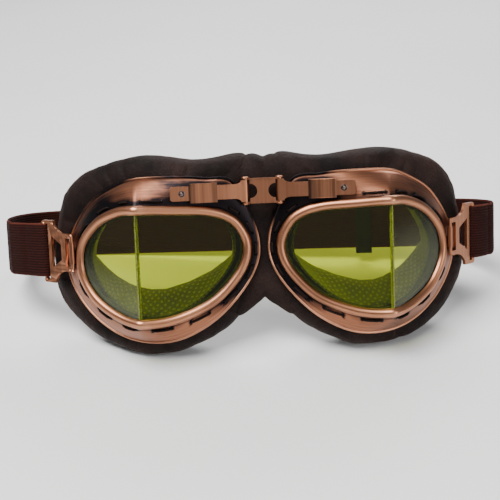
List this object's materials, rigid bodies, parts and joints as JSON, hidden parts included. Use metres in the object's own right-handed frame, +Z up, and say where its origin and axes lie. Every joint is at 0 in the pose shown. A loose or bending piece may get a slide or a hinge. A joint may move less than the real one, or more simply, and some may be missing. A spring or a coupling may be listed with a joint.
{
  "type": "motorcycle goggles",
  "caption": "Vintage split-lens motorcycle goggles: two copper eyecups on a folding nose bridge, leather pads, hinged buckles and an elastic strap.",
  "frame": {"origin": "middle of the whole object's footprint, on the surface that it stands on", "axes": "+X across the goggles to the right as seen from the front, +Y back through the lenses towards the face and the strap, +Z up"},
  "size_m": [0.2612, 0.1317, 0.0911],
  "materials": {
    "copper_bright": "brushed antique copper, bright with darker recesses",
    "copper_aged": "pressed antique copper with a dark brushed patina",
    "rivet": "dark domed rivet",
    "lens": "flat yellow-green tinted pane, polished",
    "gasket": "black rubber",
    "thread": "thick waxed dark brown thread",
    "leather": "soft matte dark brown leather with fine grain and puckers",
    "lining": "dark short-pile lining with a fine dotted mesh",
    "elastic": "ribbed dark red-brown elastic webbing",
    "slider_metal": "dark lacquered strap slider"
  },
  "bodies": {
    "bridge": {"centre_link": "copper_bright", "left_hinge_pin": "copper_bright", "right_hinge_pin": "copper_bright", "nose_pad": "leather", "strap_back": "elastic"},
    "left_bar": {"left_bridge_bar": "copper_bright", "left_bar_rivet": "rivet"},
    "left_cup": {"left_sleeve": "copper_bright", "left_eyecup": "copper_aged", "left_lens_rim": "copper_bright", "left_front_pane": "lens", "left_side_pane": "lens", "left_gasket": "gasket", "left_barrel": "copper_bright", "left_stitching": "thread", "left_pad": "leather", "left_lining": "lining", "left_strap_side": "elastic"},
    "left_buckle_body": {"left_buckle": "copper_bright", "left_strap_loop": "elastic"},
    "right_bar": {"right_bridge_bar": "copper_bright", "right_bar_rivet": "rivet"},
    "right_cup": {"right_sleeve": "copper_bright", "right_eyecup": "copper_aged", "right_lens_rim": "copper_bright", "right_front_pane": "lens", "right_side_pane": "lens", "right_gasket": "gasket", "right_barrel": "copper_bright", "right_stitching": "thread", "right_pad": "leather", "right_lining": "lining", "right_strap_side": "elastic"},
    "right_buckle_body": {"right_buckle": "copper_bright", "right_strap_loop": "elastic"},
    "slider_body": {"strap_slider": "slider_metal"}
  },
  "joints": [
    {"name": "left_fold", "type": "hinge", "parent": "bridge", "child": "left_bar", "pos_m": [-0.0038, -0.03524, 0.07945], "axis": [0, -0.3665, -0.9304], "range_deg": [-12, 10], "deforming": ["nose_pad"]},
    {"name": "left_bridge_slide", "type": "slide", "parent": "left_bar", "child": "left_cup", "axis": [-0.9945, -0.0973, 0.0383], "range_m": [-0.0005, 0.0016]},
    {"name": "left_buckle_hinge", "type": "hinge", "parent": "left_cup", "child": "left_buckle_body", "pos_m": [-0.0883, -0.03309, 0.04915], "axis": [0, -0.3665, -0.9304], "range_deg": [-35, 6], "deforming": ["left_strap_side"]},
    {"name": "right_fold", "type": "hinge", "parent": "bridge", "child": "right_bar", "pos_m": [0.0122, -0.03524, 0.07945], "axis": [0, 0.3665, 0.9304], "range_deg": [-12, 10], "deforming": ["nose_pad"]},
    {"name": "right_bridge_slide", "type": "slide", "parent": "right_bar", "child": "right_cup", "axis": [0.9945, -0.0973, 0.0383], "range_m": [-0.0005, 0.0016]},
    {"name": "right_buckle_hinge", "type": "hinge", "parent": "right_cup", "child": "right_buckle_body", "pos_m": [0.0967, -0.03309, 0.04915], "axis": [0, 0.3665, 0.9304], "range_deg": [-35, 6], "deforming": ["right_strap_side"]},
    {"name": "strap_adjust", "type": "slide", "parent": "bridge", "child": "slider_body", "axis": [0.9903, -0.129, 0.0508], "range_m": [-0.055, 0.002]}
  ]
}
